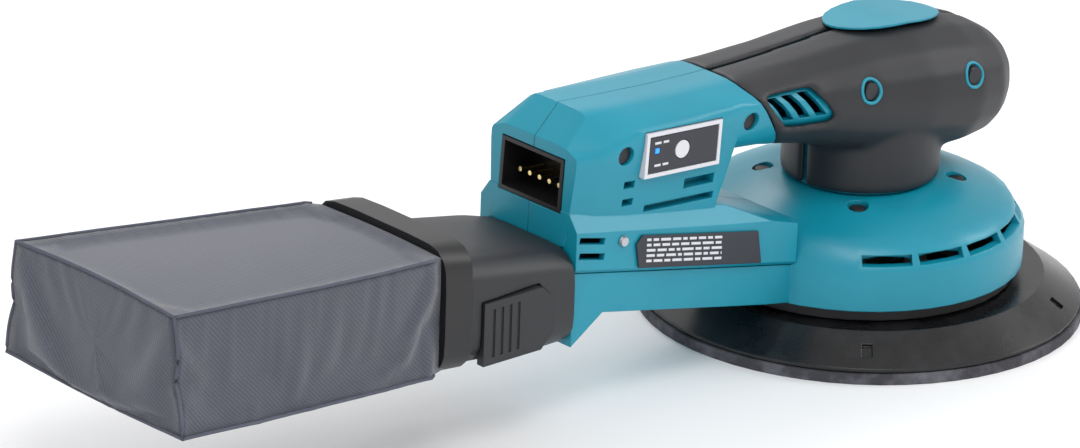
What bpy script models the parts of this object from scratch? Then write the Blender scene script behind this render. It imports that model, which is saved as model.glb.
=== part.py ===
"""Cordless random orbital sander with a dust bag, built as an assembly of separate pieces.

Metres, +Z up, nose towards +X, dust bag towards -X. The sander is laid out about its motor axis
(x = 0, z = 0 on the sanded surface), and one empty then puts the origin under the middle of the
whole outline. The head, tier and dust bag are laid out in level x and z. The handle and the rear
case have an axis that climbs a little towards the rear: s runs rearwards along it, h above it.
"""

import math

import bmesh
import bpy
from mathutils import Matrix, Vector

MM = 0.001
GAP = 0.3 * MM  # air between two pieces that touch on the real tool
SLIDE = 0.5 * MM  # air round a piece that moves
RUN = 0.09 * MM  # radial air of a running fit, measured at the facets' corners
PITCH = math.radians(3.5)  # climb of the body axis towards the rear
STEPS = 40  # facets round the large turned pieces
HIDDEN_STEPS = 24  # facets round the turned pieces inside the neck
FINE_STEPS = 20  # facets round the small turned pieces

# Pad, turned about an axis beside the motor axis
ORBIT = 2.5 * MM  # half of the 5 mm orbit
PAD_RADIUS = 75 * MM
PAD_SHOULDER_RADIUS = 61.5 * MM
PAD_LIP = 0.9 * MM  # the hook layer reaches this far past the pad's rubber
PAD_HEIGHT = 13.5 * MM
PAD_EDGE = 1.2 * MM
HOOK_HEIGHT = 3.6 * MM
PAD_HUB_RADIUS = 15 * MM
PAD_HUB_RISE = 2.5 * MM
PAD_RECESS_RADIUS = 12 * MM
PAD_RECESS_DEPTH = 9 * MM
DUST_HOLE_RADIUS = 4.2 * MM
DUST_CIRCLES = ((6, 27 * MM), (8, 48 * MM))
NOTCH_COUNT = 5
NOTCH_ANGLE = math.radians(228)
NOTCH_SIZE = 3.4 * MM
PAD_STEPS = 56  # facets round the pad

# Drive line, from the pad upwards
SPINDLE_RADIUS, SPINDLE_FLANGE = 5 * MM, 9 * MM
SCREW_RADIUS = 2.5 * MM
SCREW_HEAD_RADIUS = 6.5 * MM
SCREW_HEAD_HEIGHT = 3 * MM
WASHER_RADIUS = 10 * MM
WASHER_HEIGHT = 1.5 * MM
PAD_BEARING_RADIUS = 11 * MM
PAD_BEARING_HEIGHT = 9 * MM
PAD_BEARING_TOP = 28 * MM
BEARING_SEAT = 2.2 * MM  # wall of the holders round the motor bearings
BALANCER_LOW = 18.5 * MM
BALANCER_HEIGHT = 14.5 * MM
BALANCER_RADIUS = 24 * MM
BALANCER_HUB_RADIUS = 16 * MM
SHAFT_RADIUS = 4 * MM
SHAFT_TOP = 90 * MM
FAN_LOW = 33.6 * MM
FAN_PLATE = 1.4 * MM
FAN_BLADE_HEIGHT = 4 * MM
FAN_BLADE_THICK = 1.4 * MM
FAN_RADIUS = 33 * MM
FAN_HUB_RADIUS = 9 * MM
FAN_BLADES = 9
LOWER_BEARING_LOW = 42.2 * MM
UPPER_BEARING_LOW = 81 * MM
MOTOR_BEARING_RADIUS = 9.5 * MM
MOTOR_BEARING_HEIGHT = 6 * MM
STATOR_RADIUS = 20.2 * MM
STATOR_BORE = 12.6 * MM
STATOR_LOW = 52 * MM
STATOR_HEIGHT = 22 * MM
ROTOR_AIR = 0.6 * MM
COIL_RISE, COIL_RADII = 2 * MM, (14 * MM, 18.4 * MM)

# Head: skirt, dome and neck
WALL = 2.4 * MM
SKIRT_RADIUS = 55.7 * MM
SKIRT_LOW = 18.4 * MM
SKIRT_TOP = 31.5 * MM
DOME_RADII = ((51.0, 39.0), (46.5, 41.4), (38.0, 44.7), (31.0, 46.8))
DOME_INNER = ((29.0, 44.2), (37.0, 42.2), (44.0, 39.5), (48.6, 37.0))
PLATE_HOLE = 19 * MM
NECK_RADIUS = 26.5 * MM
NECK_TOP = 68 * MM
GRIP_WALL = 2.2 * MM
BRAKE_INNER = 44 * MM
BRAKE_LOW = 14.3 * MM
BRAKE_HEIGHT = 6.5 * MM
HEAD_VENTS = 13
HEAD_VENT_PITCH = math.radians(20.6)
HEAD_VENT_ARC = 16.6 * MM
HEAD_VENT_HEIGHT = 3.2 * MM
HEAD_SCREW_CIRCLE, HEAD_SCREW_FLOOR, HEAD_RECESS = 32 * MM, 44.5 * MM, 3.6 * MM
NECK_FOOT = DOME_RADII[-1][1] * MM + GAP
NECK_CORE = NECK_RADIUS - GRIP_WALL - GAP
CORE_INSET = GRIP_WALL + GAP

# Outer shape of the case and grip in the body frame, in mm. Each station: s, top, bottom, half
# width of the flat top, half width, drop to it, lower half width, rise to it, foot half width,
# roundness of the corners
BODY = (
    (-50.0, 81.5, 74.0, 1.5, 4.0, 1.5, 4.0, 1.5, 1.5, 0.9),
    (-48.0, 87.5, 65.5, 6.0, 14.0, 5.0, 14.0, 5.0, 6.0, 0.9),
    (-43.5, 92.0, 59.5, 10.0, 21.0, 8.0, 20.5, 8.0, 10.0, 0.9),
    (-35.0, 96.0, 56.0, 13.0, 27.0, 11.0, 26.5, 11.0, 13.0, 0.9),
    (-22.0, 99.0, 54.5, 15.0, 30.0, 13.0, 29.5, 13.0, 16.0, 0.9),
    (0.0, 100.6, 55.0, 15.0, 30.0, 13.5, 29.0, 13.0, 17.0, 0.9),
    (22.0, 99.6, 59.5, 13.5, 27.5, 12.5, 26.5, 10.0, 15.5, 0.9),
    (44.0, 96.8, 65.5, 12.0, 24.5, 10.0, 23.0, 8.0, 14.0, 0.8),
    (66.0, 94.4, 69.0, 11.0, 23.5, 7.0, 21.5, 6.5, 14.0, 0.6),
    (82.0, 93.2, 70.5, 11.0, 23.6, 5.0, 21.0, 5.0, 15.0, 0.4),
    (88.0, 92.9, 50.0, 11.0, 23.7, 4.8, 19.5, 3.0, 17.5, 0.3),
    (104.0, 92.3, 50.0, 11.0, 23.7, 4.7, 19.5, 3.0, 18.5, 0.3),
    (128.0, 92.2, 50.0, 11.2, 23.5, 5.5, 19.2, 3.0, 18.5, 0.3),
    (142.0, 92.3, 50.0, 11.5, 22.5, 11.0, 18.6, 3.0, 18.0, 0.3),
    (151.0, 82.5, 50.0, 14.0, 20.5, 2.5, 18.0, 3.0, 17.0, 0.3),
)
NOSE_END, NOSE_SLOPE, NOSE_TIP = -22.0, 1.5, 2 * MM  # start of the nose, its wall's growth, least height
FRONT_WALL = (9, 10)  # the two stations of the wall behind the finger gap
# Tier under the case, level frame, in mm: x, ledge at the case, ledge at the edge, bottom
TIER = (
    (-50.0, 47.5, 46.5, 32.0),
    (-61.5, 51.3, 50.0, 34.4),
    (-80.0, 58.9, 53.2, 38.2),
    (-147.2, 71.0, 65.6, 52.0),
)
TIER_HALF, TIER_INNER, TIER_CORNER = 23 * MM, 19 * MM, 1.2 * MM
# Dust duct behind the skirt, level frame, in mm: x, bottom; its top lies against the tier
DUCT = (
    (-49.0, 18.4),
    (-61.5, 20.6),
    (-80.0, 24.4),
    (-134.0, 35.6),
    (-147.2, 26.8),
)
DUCT_HALF = 21.8 * MM
BORDER_S, BORDER_H, BORDER_LEAN = 72.7 * MM, 86 * MM, math.radians(38)
SIDE_SLOTS = (  # air slots in the side of the case, each a range of s and a range of h
    ((126.0, 130.5), (67.4, 69.8)),
    ((125.5, 130.0), (61.2, 63.6)),
    ((90.0, 120.0), (57.6, 60.0)),
    ((91.0, 104.0), (63.2, 66.6)),
)
TIER_SLOTS = (-140.5, 11.0, (61.6, 56.4))  # middle, length and heights of the slots in the tier
VENT_WINDOW = ((71.0, 88.3), (50.5, 88.8), (39.5, 76.8), (60.0, 76.8))
VENT_SLOTS, VENT_BAR, VENT_END = 3, 2.6, 2.4  # slanted slots, bar between two, solid at each end

# Dust nozzle, adapter, collar and bag, level frame, in mm
NOZZLE_HALF, NOZZLE_LOW, NOZZLE_TOP, NOZZLE_END = 17 * MM, 31 * MM, 46 * MM, -167 * MM
ADAPTER = (
    (-148.2, 60.0, 27.5, 24.0),
    (-158.0, 62.3, 28.5, 26.0),
    (-184.0, 66.5, 31.4, 27.5),
    (-197.0, 68.4, 33.0, 28.0),
)
BAG = (
    (-199.0, 70.6, 36.6, 27.0, 27.0),
    (-209.4, 71.6, 37.4, 28.0, 28.0),
    (-214.0, 74.6, 36.2, 31.0, 32.0),
    (-262.0, 79.4, 41.6, 35.0, 38.0),
    (-318.0, 85.0, 47.4, 38.0, 43.5),
    (-323.0, 83.6, 49.4, 36.5, 42.0),
)
COLLAR = (
    (-197.3, 76.0, 33.0, 31.0, 31.0),
    (-208.6, 77.2, 34.2, 31.5, 31.5),
)
COLLAR_WALL, BAG_WALL = 2.6 * MM, 1.5 * MM
LATCH_START, LATCH_END = -161 * MM, -190 * MM
LATCH_LOW, LATCH_TOP = 33 * MM, 54 * MM
LATCH_THICK = 3 * MM
LATCH_PROUD = 1.2 * MM
LATCH_TRAVEL = 2 * MM
LATCH_NOSE = 5 * MM
LATCH_FACE = ADAPTER[2][3] * MM + LATCH_PROUD
SPRING_RADIUS, SPRING_WIRE, SPRING_LENGTH = 2.4 * MM, 0.25 * MM, 4.2 * MM
SPRING_TURNS, SPRING_FACETS = 3, 9
SPRING_PLACE = (-164.5 * MM, 43 * MM)

# Connector, control panel, plates and screws
SOCKET_HALF, SOCKET_LOW, SOCKET_TOP = 14.6 * MM, 61 * MM, 78.5 * MM
SOCKET_DEPTH, SOCKET_WALL, SOCKET_REAR = 14 * MM, 1.3 * MM, 151.2 * MM
PIN_PITCH, PIN_RADIUS = 4.63 * MM, 0.8 * MM
PIN_COUNT, PIN_HEIGHT, PIN_REACH = 5, 68 * MM, 4 * MM
PANEL_START, PANEL_END = 92 * MM, 124.5 * MM
PANEL_LOW, PANEL_TOP = 70.5 * MM, 85.5 * MM
PANEL_PROUD, PANEL_DEPTH = 23.8 * MM, 3 * MM
PANEL_RIM = 1.6 * MM
BUTTON_RADIUS = 3 * MM
BUTTON_PLACE, LED_PLACE, LED_HALF = (108.8, 78.2), (119.6, 79.2), 0.8
OVERLAY_DEPTH, OVERLAY_THICK = 0.9 * MM, 0.5 * MM
PLATE_START, PLATE_END, PLATE_HEIGHT, PLATE_THICK = -66.5 * MM, -120.5 * MM, 11.4 * MM, 0.6 * MM
CASE_SCREW_LENGTH, CASE_SCREW_SHANK = 9 * MM, 1.3 * MM
CASE_SCREW_HEAD, SCREW_SINK = 1.7 * MM, 3.4 * MM
CASE_HOLE_RADIUS = 3.2 * MM
TIER_SCREW = (-127.4 * MM, 58.7 * MM)
CASE_SCREWS = ((-18.0, 84.5), (26.7, 85.0), (77.8, 82.0), (131.8, 79.0))
BADGE_LENGTH, BADGE_WIDTH, BADGE_THICK = 48 * MM, 26 * MM, 0.7 * MM
BOARD_START, BOARD_END, BOARD_HALF, BOARD_LOW = 97 * MM, 131 * MM, 12.5 * MM, 62 * MM
BOARD_THICK = 1.6 * MM
SIDE_DEPTH = 3.6 * MM
SWITCH_FLOOR = 20.8 * MM
DIAL_RADIUS, DIAL_PLACE = 7 * MM, (122.0, 75.0)
SWITCH_START, SWITCH_END, SWITCH_LOW, SWITCH_TOP = 92.0, 106.0, 71.0, 79.0
SWITCH_TRAVEL = 3 * MM

TEAL = (0.0, 0.33, 0.40, 1)
CHARCOAL = (0.045, 0.045, 0.05, 1)
BLACK = (0.015, 0.015, 0.017, 1)
STEEL = (0.6, 0.6, 0.62, 1)
FABRIC = (0.07, 0.08, 0.10, 1)
GREY = (0.25, 0.25, 0.26, 1)
COPPER = (0.7, 0.3, 0.15, 1)
WHITE = (0.85, 0.85, 0.85, 1)
BLUE = (0.05, 0.35, 0.9, 1)
GREEN = (0.03, 0.2, 0.08, 1)

OVERALL_REAR = BAG[-1][0] * MM
OVERALL_FRONT = ORBIT + PAD_RADIUS
FRAME_SHIFT = -(OVERALL_REAR + OVERALL_FRONT) / 2


def clear_scene():
    for obj in list(bpy.data.objects):
        bpy.data.objects.remove(obj, do_unlink=True)


def collection(name):
    made = bpy.data.collections.new(name)
    bpy.context.scene.collection.children.link(made)
    return made


clear_scene()
parts = collection("orbital_sander")
cutters = collection("cutters")
cutters.hide_render = True
origin = bpy.data.objects.new("motor_axis", None)
origin.location.x = FRAME_SHIFT
parts.objects.link(origin)
pad_axis = bpy.data.objects.new("pad_axis", None)
pad_axis.parent = origin
pad_axis.location.x = ORBIT
parts.objects.link(pad_axis)
materials = {}


def material(name, colour, rough, metal=0.0):
    if name in materials:
        return materials[name]
    made = bpy.data.materials.new(name)
    made.use_nodes = True
    shader = made.node_tree.nodes["Principled BSDF"]
    shader.inputs["Base Color"].default_value = colour
    shader.inputs["Roughness"].default_value = rough
    shader.inputs["Metallic"].default_value = metal
    materials[name] = made
    return made


def teal():
    return material("teal_abs", TEAL, 0.4)


def charcoal():
    return material("charcoal_overmold", CHARCOAL, 0.6)


def black():
    return material("black_plastic", BLACK, 0.45)


def steel():
    return material("steel", STEEL, 0.3, 1.0)


def add(name, bm, finish, parent=None, helper=False):
    """Puts the bmesh in a new object under its empty."""
    bmesh.ops.recalc_face_normals(bm, faces=bm.faces)
    mesh = bpy.data.meshes.new(name)
    bm.to_mesh(mesh)
    bm.free()
    obj = bpy.data.objects.new(name, mesh)
    obj.parent = parent or origin
    (cutters if helper else parts).objects.link(obj)
    if helper:
        obj.hide_render = True
        obj.display_type = "WIRE"
    else:
        mesh.materials.append(finish)
    return obj


def combine(obj, other, operation):
    """Adds a live Boolean; the other object becomes a helper."""
    made = obj.modifiers.new(operation.lower(), "BOOLEAN")
    made.operation = operation
    made.solver = "EXACT"
    made.object = other
    if other.name in parts.objects:
        parts.objects.unlink(other)
        cutters.objects.link(other)
    other.hide_render = True
    other.display_type = "WIRE"


def cut(obj, *others):
    for other in others:
        combine(obj, other, "DIFFERENCE")


def join(obj, *others):
    for other in others:
        combine(obj, other, "UNION")


def box(name, low, high, finish=None, parent=None, turn=None):
    """A box between two corners; without a finish it is a cutter."""
    bm = bmesh.new()
    bmesh.ops.create_cube(bm, size=1)
    low, high = Vector(low), Vector(high)
    size = high - low
    bmesh.ops.scale(bm, vec=size, verts=bm.verts)
    bmesh.ops.translate(bm, vec=(low + high) / 2, verts=bm.verts)
    if turn:
        bmesh.ops.transform(bm, matrix=turn, verts=bm.verts)
    return add(name, bm, finish, parent, helper=finish is None)


def rod(name, radius, low, high, finish=None, parent=None, steps=FINE_STEPS, turn=None, top=None):
    """A cylinder or cone along Z between two heights."""
    bm = bmesh.new()
    bmesh.ops.create_cone(
        bm,
        cap_ends=True,
        segments=steps,
        radius1=radius,
        radius2=radius if top is None else top,
        depth=high - low,
        matrix=Matrix.Translation((0, 0, (low + high) / 2)),
    )
    if turn:
        bmesh.ops.transform(bm, matrix=turn, verts=bm.verts)
    return add(name, bm, finish, parent, helper=finish is None)


def turned(name, profile, finish=None, parent=None, steps=STEPS):
    """A closed profile of (radius, height) in metres, swept round Z."""
    area = 0
    for (r1, z1), (r2, z2) in zip(profile, profile[1:] + profile[:1]):
        area += r1 * z2 - r2 * z1
    if area > 0:
        profile = profile[::-1]
    bm = bmesh.new()
    verts = [bm.verts.new((r, 0, z)) for r, z in profile]
    for a, b in zip(verts, verts[1:]):
        bm.edges.new((a, b))
    if profile[0][0] > 0:
        bm.edges.new((verts[-1], verts[0]))
    mesh = bpy.data.meshes.new(name)
    bm.to_mesh(mesh)
    bm.free()
    obj = bpy.data.objects.new(name, mesh)
    obj.parent = parent or origin
    parts.objects.link(obj)
    sweep = obj.modifiers.new("sweep", "SCREW")
    sweep.steps = steps
    sweep.render_steps = steps
    sweep.use_merge_vertices = True
    sweep.merge_threshold = 0.00001
    sweep.use_smooth_shade = True
    if finish:
        mesh.materials.append(finish)
    else:
        parts.objects.unlink(obj)
        cutters.objects.link(obj)
        obj.hide_render = True
        obj.display_type = "WIRE"
    return obj


def loft(name, rings, finish=None, parent=None):
    """Closed skin through rings that have the same number of points."""
    bm = bmesh.new()
    rows = [[bm.verts.new(point) for point in ring] for ring in rings]
    count = len(rows[0])
    for row, following in zip(rows, rows[1:]):
        for i in range(count):
            j = (i + 1) % count
            bm.faces.new((row[i], row[j], following[j], following[i]))
    bm.faces.new(rows[0])
    bm.faces.new(rows[-1])
    return add(name, bm, finish, parent, helper=finish is None)


def body_point(s, y, h):
    """A point given in the body frame."""
    along, up = math.cos(PITCH), math.sin(PITCH)
    return Vector((-s * along + h * up, y, s * up + h * along))


BODY_TURN = Matrix(
    (
        (-math.cos(PITCH), 0, math.sin(PITCH), 0),
        (0, 1, 0, 0),
        (math.sin(PITCH), 0, math.cos(PITCH), 0),
        (0, 0, 0, 1),
    )
)


def rounded(corners, share):
    """Replaces each corner of a closed outline by three points of a curve."""
    out = []
    for i, corner in enumerate(corners):
        before, after = corners[i - 1], corners[(i + 1) % len(corners)]
        first = corner + (before - corner) * share / 2
        last = corner + (after - corner) * share / 2
        out += [first, corner / 2 + first / 4 + last / 4, last]
    return out


def body_ring(station, inset):
    """Section of the case, moved inwards by the inset."""
    s, top, bottom, flat, half, drop, low, rise, foot, share = (v * MM for v in station)
    top, bottom = top - inset, bottom + inset
    half, low = max(half - inset, 0.8 * MM), max(low - inset, 0.8 * MM)
    flat, foot = max(flat - inset / 2, 0.4 * MM), max(foot - inset / 2, 0.4 * MM)
    flat, foot = min(flat, half), min(foot, low)
    right = [(flat, top), (half, top - drop), (low, bottom + rise), (foot, bottom)]
    if top - drop < bottom + rise:
        middle = (top + bottom) / 2
        right = [(flat, top), (half, middle + 0.2 * MM), (low, middle - 0.2 * MM), (foot, bottom)]
    outline = [Vector(p) for p in right] + [Vector((-y, h)) for y, h in reversed(right)]
    return [body_point(s, p.x, p.y) for p in rounded(outline, share / MM)]


def body_solid(name, inset):
    """The case's outer shape, or one a wall further in: the nose, front wall and rear move too."""
    tall = [list(station) for station in BODY if (station[1] - station[2]) * MM > 2 * inset + NOSE_TIP]
    walls = [BODY[wall][0] for wall in FRONT_WALL]
    for station in tall:
        nose = min(1, max(0, (NOSE_END - station[0]) / (NOSE_END - BODY[0][0])))
        station[0] += (NOSE_SLOPE * nose + (station[0] in walls)) * inset / MM
    tall[-1][0] -= inset / MM
    return loft(name, [body_ring(station, inset) for station in tall])


def tier_solid(name, inset):
    rings = []
    for x, inner, outer, bottom in TIER:
        x = x * MM + (inset if x == TIER[-1][0] else -inset)
        inner, outer, bottom = inner * MM - inset, outer * MM - inset, bottom * MM + inset
        half = TIER_HALF - inset
        low = half - TIER_CORNER
        right = [(TIER_INNER - inset, inner), (half, outer), (half, bottom + TIER_CORNER), (low, bottom)]
        left = [(-y, z) for y, z in reversed(right)]
        rings.append([(x, y, z) for y, z in right + left])
    return loft(name, rings)


def tier_bottom(x):
    """Height of the tier's underside, in mm, where the duct lies against it."""
    for (x1, _, _, z1), (x2, _, _, z2) in zip(TIER, TIER[1:]):
        if x >= x2 or (x2, z2) == (TIER[-1][0], TIER[-1][3]):
            return z1 + (z2 - z1) * (x - x1) / (x2 - x1)


def duct_solid(name, inset, front=0.0, rear=0.0):
    rings = []
    for x, bottom in DUCT:
        top = tier_bottom(x) * MM - GAP - inset
        bottom = bottom * MM + inset
        place = x * MM
        place += front if x == DUCT[0][0] else 0
        place += rear if x == DUCT[-1][0] else 0
        half = DUCT_HALF - inset
        section = ((half, top), (half, bottom), (-half, bottom), (-half, top))
        rings.append([(place, y, z) for y, z in section])
    return loft(name, rings)


def case_half(s, h):
    """Half width of the outer case at a place on its side, in mm, between ridge and foot."""
    for one, two in zip(BODY, BODY[1:]):
        if one[0] <= s <= two[0]:
            share = (s - one[0]) / (two[0] - one[0])
            mixed = [p + (q - p) * share for p, q in zip(one, two)]
            ridge, foot = mixed[1] - mixed[5], mixed[2] + mixed[7]
            return mixed[6] + (mixed[4] - mixed[6]) * min(1, max(0, (h - foot) / (ridge - foot)))


def side_prism(name, outline, side, inner, outer, finish=None, parent=None):
    """A flat outline of (s, h) in mm carried across the tool between two half widths."""
    rings = []
    for y in (inner, outer):
        rings.append([body_point(s * MM, side * y, h * MM) for s, h in outline])
    return loft(name, rings, finish, parent)


def rectangle(s, h):
    return ((s[0], h[0]), (s[1], h[0]), (s[1], h[1]), (s[0], h[1]))


def across(s, h, side, start):
    """Stands a piece that points along +Z on one side of the case, pointing inwards."""
    place = body_point(s * MM, side * start, h * MM)
    return Matrix.Translation(place) @ Matrix.Rotation(side * math.pi / 2, 4, "X")


def border_box(name, front, margin=0.0):
    """Everything in front of the line where the grip ends, or everything behind it."""
    reach = 250 * MM
    low = (-reach if front else margin, -reach, -reach)
    high = (margin if front else reach, reach, reach)
    lean = Matrix.Translation((BORDER_S, 0, BORDER_H)) @ Matrix.Rotation(BORDER_LEAN, 4, "Y")
    return box(name, low, high, turn=BODY_TURN @ lean)


def other_side(name, side):
    """Cutter that leaves one side of the tool, with the seam in the middle."""
    reach = 400 * MM
    low, high = (-reach, -reach, -reach), (reach, GAP / 2, reach)
    if side < 0:
        low, high = (-reach, -GAP / 2, -reach), (reach, reach, reach)
    return box(name, low, high)


def head_outline(grow):
    """Outer profile of skirt and dome, from the skirt's lower edge to the foot of the neck."""
    out = [(SKIRT_RADIUS + grow, SKIRT_LOW), (SKIRT_RADIUS + grow, SKIRT_TOP + grow)]
    return out + [(r * MM + grow * 0.7, z * MM + grow) for r, z in DOME_RADII]


def make_head():
    profile = head_outline(0)
    inner = SKIRT_RADIUS - WALL
    profile += [(PLATE_HOLE, DOME_RADII[-1][1] * MM), (PLATE_HOLE, DOME_INNER[0][1] * MM)]
    profile += [(r * MM, z * MM) for r, z in DOME_INNER]
    profile += [(inner, SKIRT_TOP - WALL / 3), (inner, SKIRT_LOW)]
    head = turned("head_shroud", profile, teal())
    join(head, duct_solid("duct_outside", 0))
    low = (NOZZLE_END, -NOZZLE_HALF, NOZZLE_LOW)
    high = (DUCT[-1][0] * MM + WALL / 2, NOZZLE_HALF, NOZZLE_TOP)
    join(head, box("nozzle_outside", low, high))
    cut(head, rod("skirt_inside", inner - RUN, SKIRT_LOW - 5 * MM, SKIRT_TOP - WALL / 3, steps=STEPS))
    cut(head, duct_solid("duct_inside", WALL, front=8 * MM, rear=WALL))
    thin = WALL * 0.75
    low = (NOZZLE_END - WALL, -NOZZLE_HALF + thin, NOZZLE_LOW + thin)
    high = (DUCT[-1][0] * MM + 2 * WALL, NOZZLE_HALF - thin, NOZZLE_TOP - thin)
    cut(head, box("nozzle_inside", low, high))
    cut(head, vent_cutter(), recess_cutter())
    return head


def merged(name, boxes, parent=None):
    """One cutter made of separate blocks, each a (size, matrix)."""
    bm = bmesh.new()
    for size, place in boxes:
        bmesh.ops.create_cube(bm, size=1, matrix=place @ Matrix.Diagonal((*size, 1)))
    return add(name, bm, None, parent, helper=True)


def vent_cutter():
    """The row of air slots round the shoulder of the skirt, nose and sides."""
    boxes = []
    for k in range(HEAD_VENTS):
        angle = (k - (HEAD_VENTS - 1) / 2) * HEAD_VENT_PITCH
        middle = Matrix.Translation((SKIRT_RADIUS - 1.5 * MM, 0, SKIRT_TOP + 3.6 * MM))
        place = Matrix.Rotation(angle, 4, "Z") @ middle
        boxes.append(((9 * MM, HEAD_VENT_ARC, HEAD_VENT_HEIGHT), place))
    return merged("head_vents", boxes)


def head_screw_place(k, z):
    angle = math.radians(45 + 90 * k)
    return Vector((HEAD_SCREW_CIRCLE * math.cos(angle), HEAD_SCREW_CIRCLE * math.sin(angle), z))


def recess_cutter():
    """Scooped recesses over the four screws that hold head and neck together."""
    bm = bmesh.new()
    for k in range(4):
        turn = Matrix.Translation(head_screw_place(k, HEAD_SCREW_FLOOR))
        stepped_pin(bm, ((HEAD_RECESS, 0), (HEAD_RECESS, 10 * MM)), turn)
    return add("head_recesses", bm, None, helper=True)


def neck_post(name, radius, low, high):
    return rod(name, radius, low, high, steps=STEPS)


def reveal(obj, name, finish):
    """Makes a piece of what was built as a helper."""
    obj.name = name
    obj.data.materials.append(finish)
    cutters.objects.unlink(obj)
    parts.objects.link(obj)
    obj.hide_render = False
    obj.display_type = "TEXTURED"
    return obj


def stepped_pin(bm, rings, turn, steps=12):
    """Adds a closed pin through (radius, height) rings, pointing along +Z before it is turned."""
    rows = []
    for radius, z in rings:
        row = []
        for k in range(steps):
            angle = 2 * math.pi * k / steps
            row.append(bm.verts.new(turn @ Vector((radius * math.cos(angle), radius * math.sin(angle), z))))
        rows.append(row)
    for one, two in zip(rows, rows[1:]):
        for i in range(steps):
            j = (i + 1) % steps
            bm.faces.new((one[i], one[j], two[j], two[i]))
    bm.faces.new(rows[0])
    bm.faces.new(rows[-1])


def screw_cutter(name, side, deep):
    """Stepped holes for the case screws on one side."""
    bm = bmesh.new()
    above = 5 * MM
    for s, h in CASE_SCREWS:
        turn = across(s, h, side, case_half(s, h) * MM + above)
        wide, narrow = CASE_HOLE_RADIUS, CASE_SCREW_SHANK + GAP
        rings = ((wide, 0), (wide, above + deep), (narrow, above + deep), (narrow, above + 20 * MM))
        stepped_pin(bm, rings, turn)
    return add(name, bm, None, helper=True)


def make_case(name, side):
    """One half of the clamshell: rear case, tier and the core under the grip."""
    case = body_solid(name + "_skin", 0)
    join(case, tier_solid(name + "_tier", 0))
    cut(case, other_side(name + "_seam", side))
    front = border_box(name + "_front", True, GAP)
    cut(front, body_solid(name + "_core", CORE_INSET))
    cut(case, front)
    post = neck_post(name + "_neck", NECK_CORE, NECK_FOOT, NECK_TOP + 4 * MM)
    cut(post, other_side(name + "_post_seam", side))
    join(case, post)
    room = body_solid(name + "_inside", CORE_INSET + WALL)
    join(room, neck_post(name + "_bore", NECK_CORE - WALL, NECK_FOOT - MM, NECK_TOP + 8 * MM))
    cut(case, room)
    cut(case, tier_solid(name + "_tier_inside", WALL))
    cut(case, turned(name + "_head_room", [(0, 5 * MM)] + head_room() + [(0, NECK_FOOT)]))
    cut(case, screw_cutter(name + "_screws", side, SCREW_SINK))
    cut(case, socket_room(name + "_socket"))
    cut(case, case_slots(name + "_slots", side))
    if side < 0:
        floor = PANEL_PROUD - PANEL_DEPTH - GAP
        cut(case, side_prism("panel_pocket", panel_outline(GAP), side, floor, 40 * MM))
    else:
        floor = SWITCH_FLOOR - GAP
        cut(case, side_prism("switch_pocket", switch_outline(SLIDE, SWITCH_TRAVEL), side, floor, 40 * MM))
        turn = across(*DIAL_PLACE, side, SWITCH_FLOOR + SIDE_DEPTH)
        cut(case, rod("dial_pocket", DIAL_RADIUS + SLIDE, -20 * MM, SIDE_DEPTH + GAP, steps=24, turn=turn))
    return reveal(case, name, teal())


def head_room():
    """Outline that the tier keeps clear of the head."""
    out = head_outline(GAP)
    return [(out[0][0], 5 * MM)] + out[1:-1] + [(out[-1][0], NECK_FOOT)]


def socket_room(name):
    low = (148.0 * MM - SOCKET_DEPTH - 4 * MM, -SOCKET_HALF - GAP, SOCKET_LOW - GAP)
    high = (160 * MM, SOCKET_HALF + GAP, SOCKET_TOP + GAP)
    return box(name, low, high, turn=BODY_TURN)


def case_slots(name, side):
    """Air slots in the side of the rear case and of the tier, and the slanted ones under the grip."""
    bm = bmesh.new()
    for s, h in SIDE_SLOTS:
        size = Vector(((s[1] - s[0]) * MM, 12 * MM, (h[1] - h[0]) * MM))
        middle = body_point((s[0] + s[1]) / 2 * MM, side * 22 * MM, (h[0] + h[1]) / 2 * MM)
        turn = Matrix.Rotation(PITCH, 4, "Y")
        place = Matrix.Translation(middle) @ turn
        bmesh.ops.create_cube(bm, size=1, matrix=place @ Matrix.Diagonal((*size, 1)))
    for z in TIER_SLOTS[2]:
        middle = Vector((TIER_SLOTS[0] * MM, side * TIER_HALF, z * MM))
        turn = Matrix.Rotation(math.radians(13), 4, "Y")
        size = Vector((TIER_SLOTS[1] * MM, 12 * MM, 2.2 * MM))
        place = Matrix.Translation(middle) @ turn
        bmesh.ops.create_cube(bm, size=1, matrix=place @ Matrix.Diagonal((*size, 1)))
    (s1, h1), (s2, h2), (s3, h3), (s4, h4) = VENT_WINDOW
    width = (s1 - s2) / VENT_SLOTS
    for k in range(VENT_SLOTS):
        mid = (k + 0.5) / VENT_SLOTS
        top = Vector((s1 + (s2 - s1) * mid, h1 + (h2 - h1) * mid))
        foot = Vector((s4 + (s3 - s4) * mid, h4 + (h3 - h4) * mid))
        down = (foot - top).normalized()
        top, foot = top + down * VENT_END, foot - down * VENT_END
        half = (width - VENT_BAR) / 2
        corners = [(top.x - half, top.y), (top.x + half, top.y)]
        corners += [(foot.x + half, foot.y), (foot.x - half, foot.y)]
        rows = []
        for y in (14 * MM, 40 * MM):
            rows.append([bm.verts.new(body_point(s * MM, side * y, h * MM)) for s, h in corners])
        for i in range(4):
            j = (i + 1) % 4
            bm.faces.new((rows[0][i], rows[0][j], rows[1][j], rows[1][i]))
        bm.faces.new(rows[0])
        bm.faces.new(rows[1])
    return add(name, bm, None, helper=True)


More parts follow.
